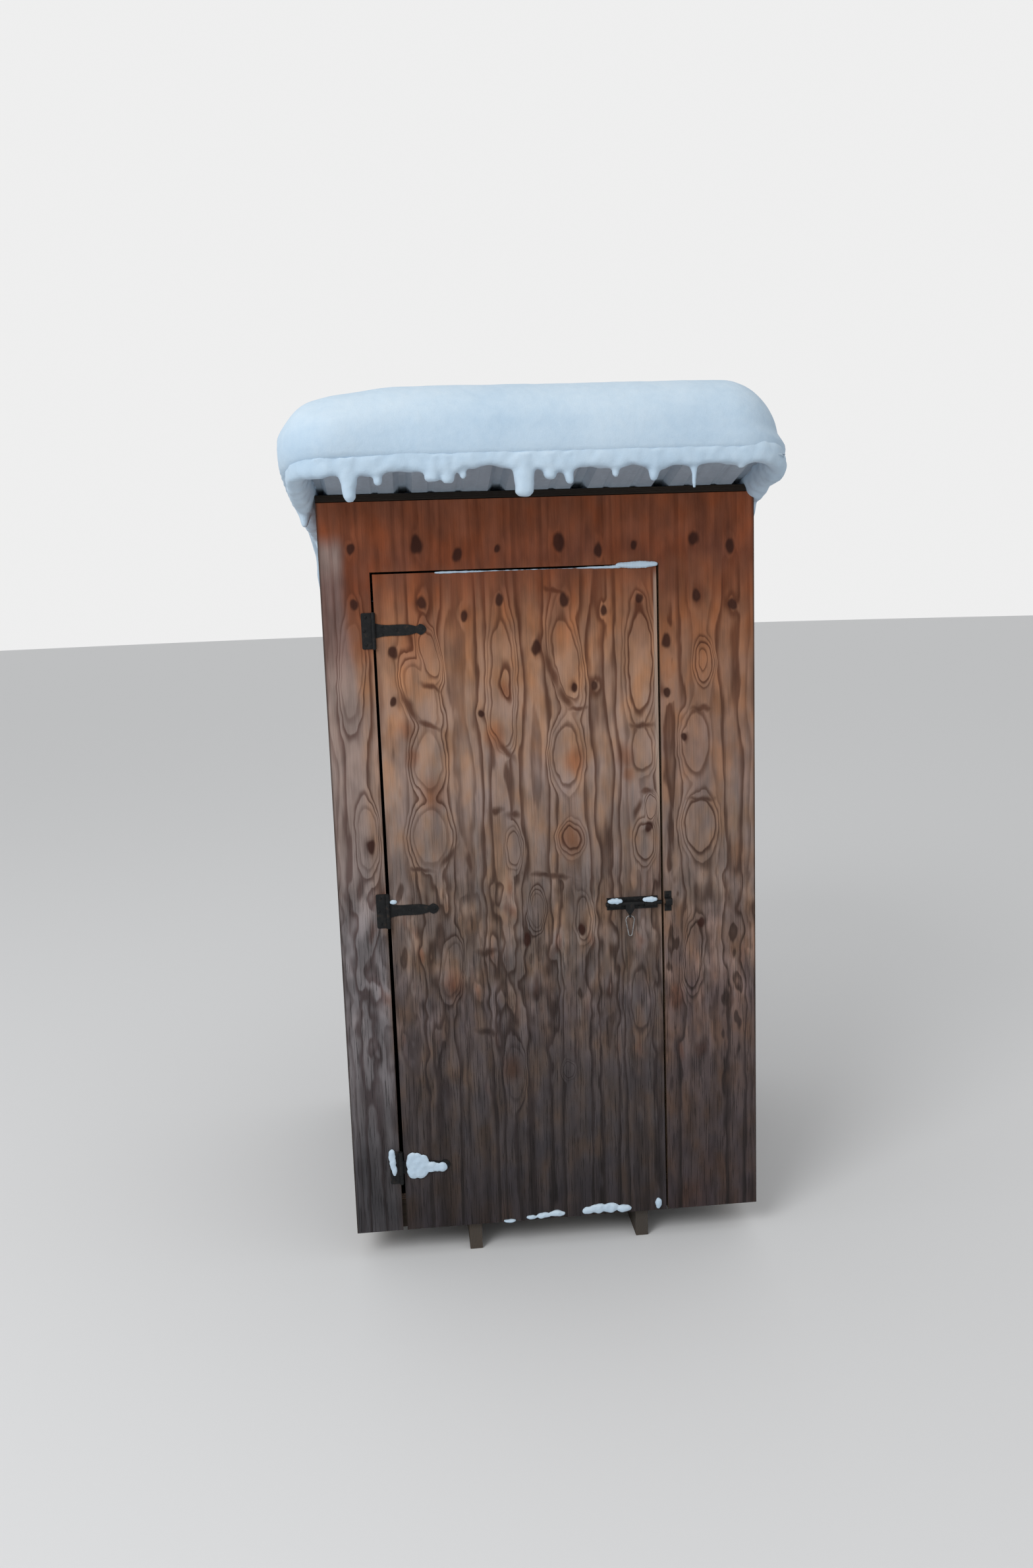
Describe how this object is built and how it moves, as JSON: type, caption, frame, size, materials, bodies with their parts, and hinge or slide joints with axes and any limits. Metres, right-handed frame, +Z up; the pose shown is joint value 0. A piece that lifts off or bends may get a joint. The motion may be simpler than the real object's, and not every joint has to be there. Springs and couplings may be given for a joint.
{
  "type": "plywood outhouse",
  "caption": "Plywood outhouse on runners with a strap-hinged door, a slide bolt and a single-pitch ribbed steel roof under a slab of snow.",
  "frame": {"origin": "on the ground, in the middle of the object's plan", "axes": "+Z up, -Y out of the door side, +X to the right of someone facing the door"},
  "size_m": [1.3748, 1.8471, 2.5095],
  "materials": {
    "front_plywood": "matte",
    "plain_plywood": "matte",
    "lumber": "matte",
    "roof_steel": "satin",
    "snow": "matte",
    "black_iron": "satin",
    "wire": "satin"
  },
  "bodies": {
    "cabin": {"runner_left": "lumber", "runner_right": "lumber", "floor_rim_front": "lumber", "floor_rim_back": "lumber", "floor_joists": "lumber", "floor_deck": "plain_plywood", "post_front_left": "lumber", "post_front_right": "lumber", "post_back_left": "lumber", "post_back_right": "lumber", "sole_left": "lumber", "sole_right": "lumber", "sole_back": "lumber", "stud_left": "lumber", "stud_right": "lumber", "stud_back": "lumber", "jamb_left": "lumber", "jamb_right": "lumber", "door_header": "lumber", "top_plate_front": "lumber", "top_plate_back": "lumber", "rafters": "lumber", "purlins": "lumber", "front_sheet_left": "front_plywood", "front_sheet_right": "front_plywood", "front_sheet_top": "front_plywood", "side_sheet_left": "plain_plywood", "side_sheet_right": "plain_plywood", "back_sheet": "plain_plywood", "roof_sheet_left": "roof_steel", "roof_sheet_right": "roof_steel", "roof_snow": "snow", "hinge_plate_top": "black_iron", "hinge_plate_middle": "black_iron", "hinge_plate_bottom": "black_iron", "bolt_keeper": "black_iron"},
    "door": {"door_panel": "front_plywood", "door_battens": "lumber", "hinge_strap_top": "black_iron", "hinge_strap_middle": "black_iron", "hinge_strap_bottom": "black_iron", "bolt_base": "black_iron"},
    "bolt": {"slide_bolt": "black_iron"},
    "loop": {"pull_loop": "wire"}
  },
  "joints": [
    {"name": "door_swing", "type": "hinge", "parent": "cabin", "child": "door", "pos_m": [-0.4695, -0.6275, 1], "axis": [0, 0, -1], "range_deg": [0, 110]},
    {"name": "bolt_slide", "type": "slide", "parent": "door", "child": "bolt", "axis": [1, 0, 0], "range_m": [0, 0.025]},
    {"name": "loop_swing", "type": "hinge", "parent": "bolt", "child": "loop", "pos_m": [0.232, -0.6335, 1.02155], "axis": [-1, 0, 0], "range_deg": [-5, 100]}
  ]
}
